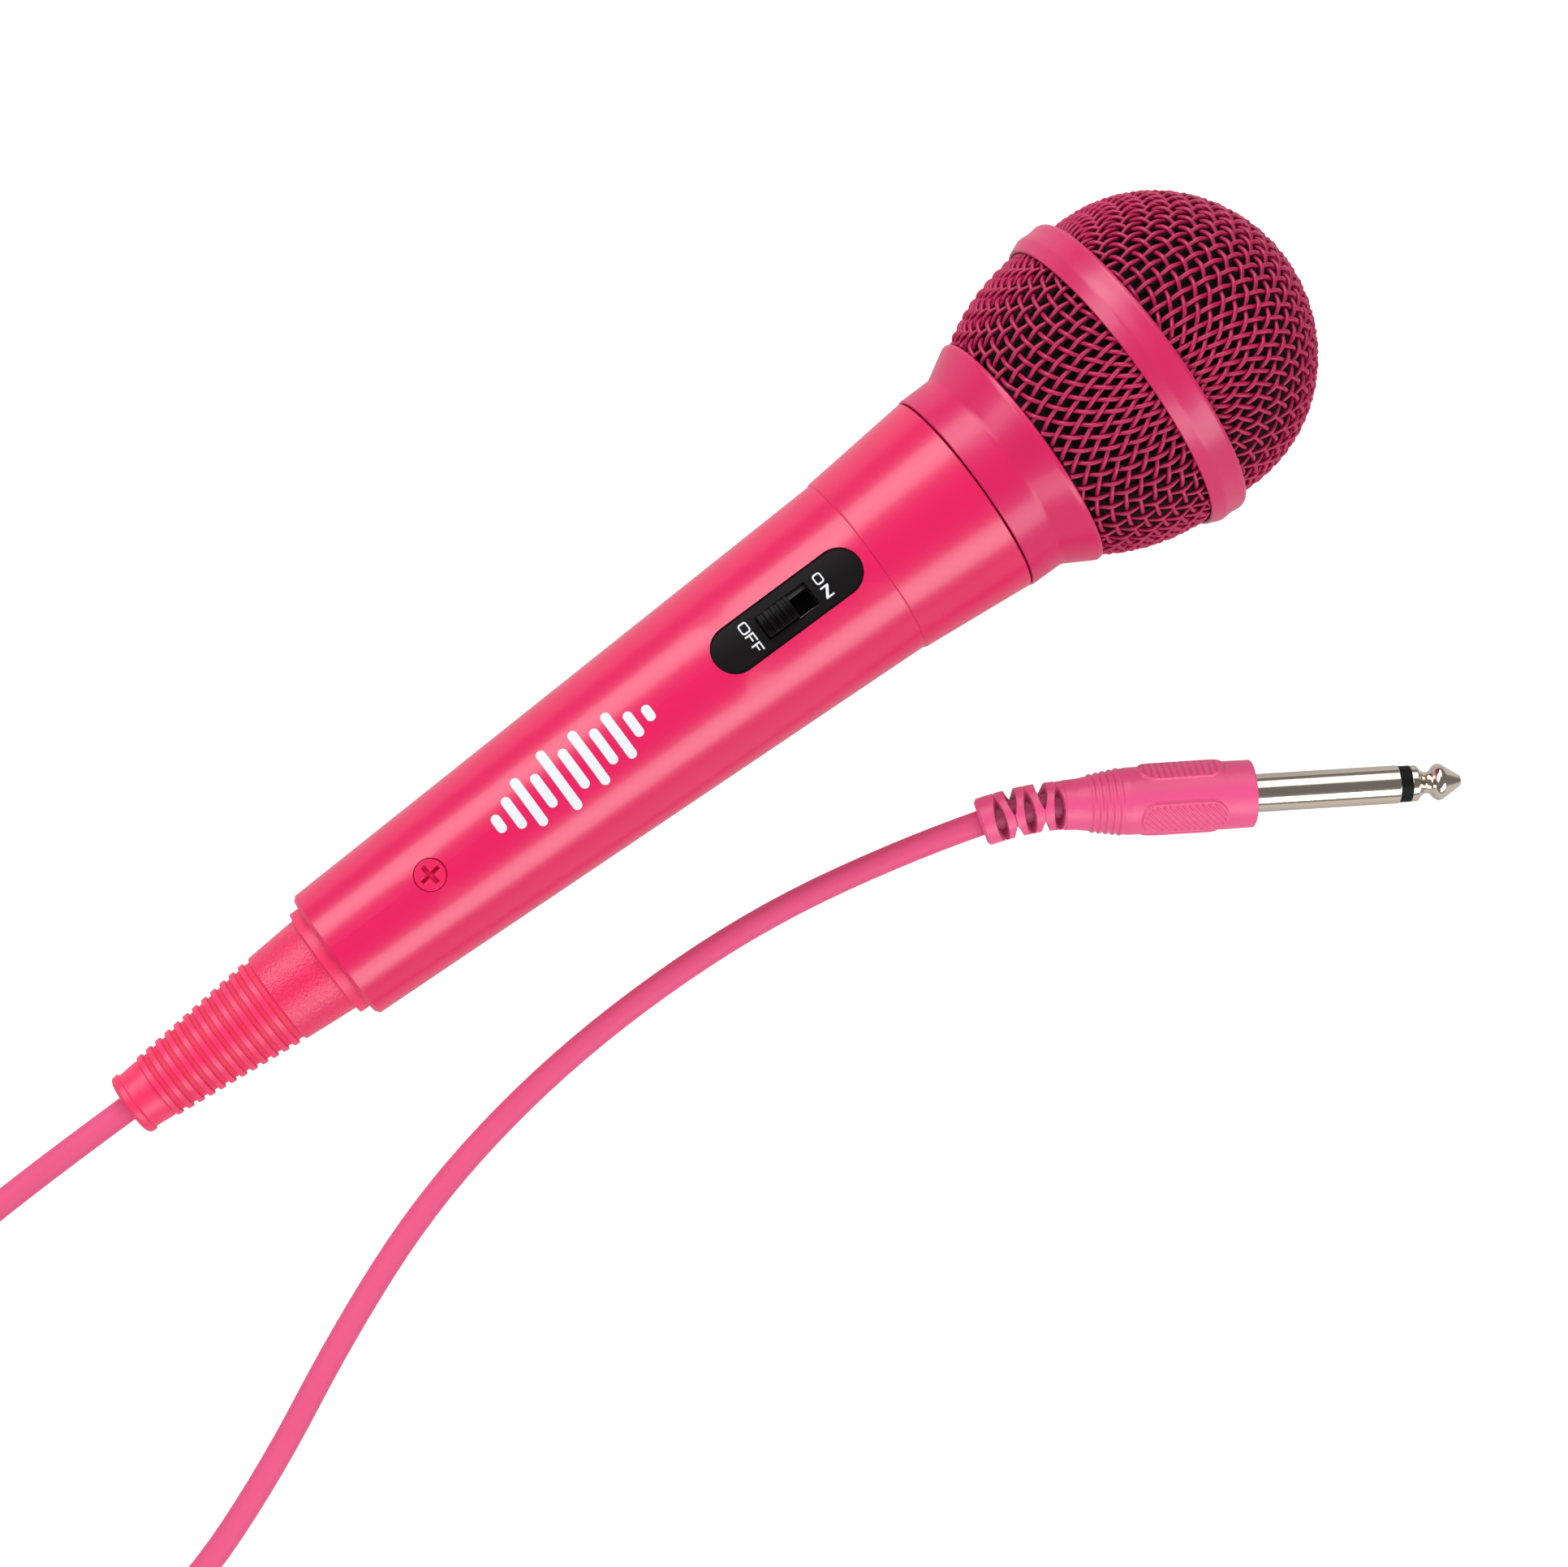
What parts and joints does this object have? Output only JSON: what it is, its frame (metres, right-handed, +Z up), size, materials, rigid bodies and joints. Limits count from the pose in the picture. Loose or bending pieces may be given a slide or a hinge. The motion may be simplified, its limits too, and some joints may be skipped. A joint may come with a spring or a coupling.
{
  "type": "toy microphone",
  "caption": "Pink hand-held dynamic toy microphone with woven ball grille, slide switch, ribbed cord boot, coiled lead and quarter-inch plug",
  "frame": {"origin": "on the ground under the middle of the microphone's bounding box, without its cord and plug", "axes": "+X runs along the microphone towards its head, +Z is up and the switch faces up, +Y is to the left when looking along +X; the microphone lies on the handle's rear edge and the band round the head, tilted about 6 degrees"},
  "size_m": [0.3729, 0.1135, 0.0559],
  "materials": {
    "pink_gloss": "high gloss injection moulded ABS",
    "collar_pink": "semi-gloss moulded ABS",
    "mesh_wire": "powder-coated woven steel wire",
    "foam_black": "open-cell acoustic foam",
    "soft_pvc": "matt soft PVC",
    "cord_pvc": "satin PVC jacket",
    "plug_pvc": "satin PVC over-moulding",
    "black_plastic": "fine matt",
    "nickel": "bright nickel plate",
    "zinc_steel": "zinc-plated sheet",
    "pink_steel": "painted screw head",
    "brass_parts": "tinned brass",
    "white_plastic": "natural ABS",
    "holder_rubber": "soft rubber",
    "ferrite": "ground magnet",
    "film": "clear polyester film",
    "copper_coil": "enamelled copper",
    "phenolic": "phenolic board",
    "wire_red": "insulated hook-up wire",
    "wire_white": "insulated hook-up wire",
    "felt": "thin acoustic cloth",
    "strap": "hook-and-loop strap"
  },
  "bodies": {
    "microphone": {"handle_tube": "pink_gloss", "neck_ring": "pink_gloss", "strain_relief_boot": "soft_pvc", "cord_anchor": "white_plastic", "anchor_screw": "pink_steel", "inner_cord": "cord_pvc", "cord_retaining_tie": "white_plastic", "cord_core_hot": "wire_red", "cord_core_shield": "wire_white", "switch_plate": "black_plastic", "switch_can": "zinc_steel", "switch_base": "phenolic", "switch_terminals": "brass_parts", "switch_screws": "zinc_steel", "capsule_holder": "holder_rubber", "capsule_frame": "black_plastic", "terminal_board": "phenolic", "magnet_yoke": "zinc_steel", "magnet": "ferrite", "pole_plate": "zinc_steel", "voice_coil": "copper_coil", "diaphragm": "film", "diaphragm_ring": "white_plastic", "acoustic_cloth": "felt", "capsule_cover": "black_plastic", "capsule_wire_hot": "wire_red", "capsule_wire_return": "wire_white", "plug_moulding": "plug_pvc", "jack_sleeve": "nickel", "jack_insulator": "black_plastic", "jack_tip": "nickel", "cord_coil": "cord_pvc", "cord_tie": "strap", "cord_lead": "cord_pvc", "cord_tail": "cord_pvc"},
    "switch_slider": {"switch_knob": "black_plastic", "switch_contact": "brass_parts"},
    "head_carrier": {"thread_insert": "brass_parts"},
    "head": {"grille_collar": "collar_pink", "cup_grille": "mesh_wire", "band_ring": "collar_pink", "dome_grille": "mesh_wire", "windscreen_foam": "foam_black"}
  },
  "joints": [
    {"name": "switch_slide", "type": "slide", "parent": "microphone", "child": "switch_slider", "axis": [0.9946, 0, 0.1041], "range_m": [0, 0.0035]},
    {"name": "head_advance", "type": "slide", "parent": "microphone", "child": "head_carrier", "axis": [0.9946, 0, 0.1041], "range_m": [0, 0.006]},
    {"name": "head_unscrew", "type": "hinge", "parent": "head_carrier", "child": "head", "pos_m": [0.05513, 0, 0.02495], "axis": [0.9946, 0, 0.1041], "range_deg": [0, 1080]}
  ],
  "couplings": [
    {"joint": "head_advance", "follows": "head_unscrew", "m_per_rad": 0.00031831}
  ]
}
